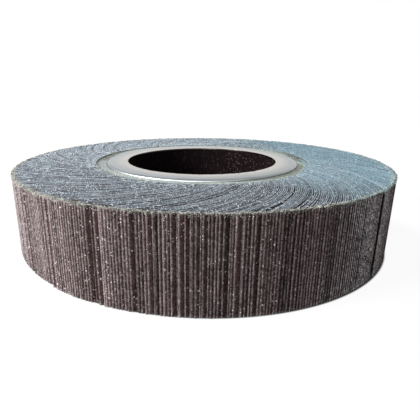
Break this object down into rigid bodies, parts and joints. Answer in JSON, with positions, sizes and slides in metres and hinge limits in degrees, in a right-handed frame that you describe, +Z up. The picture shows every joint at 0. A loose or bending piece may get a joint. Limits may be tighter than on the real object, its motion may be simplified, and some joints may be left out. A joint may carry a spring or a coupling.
{
  "type": "abrasive flap wheel",
  "caption": "Unmounted abrasive flap wheel: leaning cloth flaps cast in a resin core round an open bore, with a steel flange ring on each face.",
  "frame": {"origin": "on the wheel's axis, in the plane of the lower flange ring's face, on which the wheel lies", "axes": "+Z up the bore, square to both faces; +X and +Y across the wheel, which is round"},
  "size_m": [0.305, 0.305, 0.061],
  "materials": {
    "abrasive_cloth": "blue-grey cut cloth edges, dark brown grit on one side",
    "cured_resin": "pale grey-green, uneven, matt",
    "flange_steel": "satin, bright at the bend"
  },
  "bodies": {
    "root": {"flap_bundle_01": "abrasive_cloth", "flap_bundle_02": "abrasive_cloth", "flap_bundle_03": "abrasive_cloth", "flap_bundle_04": "abrasive_cloth", "flap_bundle_05": "abrasive_cloth", "flap_bundle_06": "abrasive_cloth", "flap_bundle_07": "abrasive_cloth", "flap_bundle_08": "abrasive_cloth", "flap_bundle_09": "abrasive_cloth", "flap_bundle_10": "abrasive_cloth", "flap_bundle_11": "abrasive_cloth", "flap_bundle_12": "abrasive_cloth", "flap_bundle_13": "abrasive_cloth", "flap_bundle_14": "abrasive_cloth", "flap_bundle_15": "abrasive_cloth", "flap_bundle_16": "abrasive_cloth", "flap_bundle_17": "abrasive_cloth", "flap_bundle_18": "abrasive_cloth", "flap_bundle_19": "abrasive_cloth", "flap_bundle_20": "abrasive_cloth", "flap_bundle_21": "abrasive_cloth", "flap_bundle_22": "abrasive_cloth", "flap_bundle_23": "abrasive_cloth", "flap_bundle_24": "abrasive_cloth", "flap_bundle_25": "abrasive_cloth", "flap_bundle_26": "abrasive_cloth", "flap_bundle_27": "abrasive_cloth", "flap_bundle_28": "abrasive_cloth", "flap_bundle_29": "abrasive_cloth", "flap_bundle_30": "abrasive_cloth", "flap_bundle_31": "abrasive_cloth", "flap_bundle_32": "abrasive_cloth", "flap_bundle_33": "abrasive_cloth", "flap_bundle_34": "abrasive_cloth", "flap_bundle_35": "abrasive_cloth", "flap_bundle_36": "abrasive_cloth", "flap_bundle_37": "abrasive_cloth", "flap_bundle_38": "abrasive_cloth", "flap_bundle_39": "abrasive_cloth", "flap_bundle_40": "abrasive_cloth", "flap_bundle_41": "abrasive_cloth", "flap_bundle_42": "abrasive_cloth", "flap_bundle_43": "abrasive_cloth", "flap_bundle_44": "abrasive_cloth", "flap_bundle_45": "abrasive_cloth", "flap_bundle_46": "abrasive_cloth", "resin_core": "cured_resin", "flange_ring_upper": "flange_steel", "flange_ring_lower": "flange_steel"}
  },
  "joints": []
}
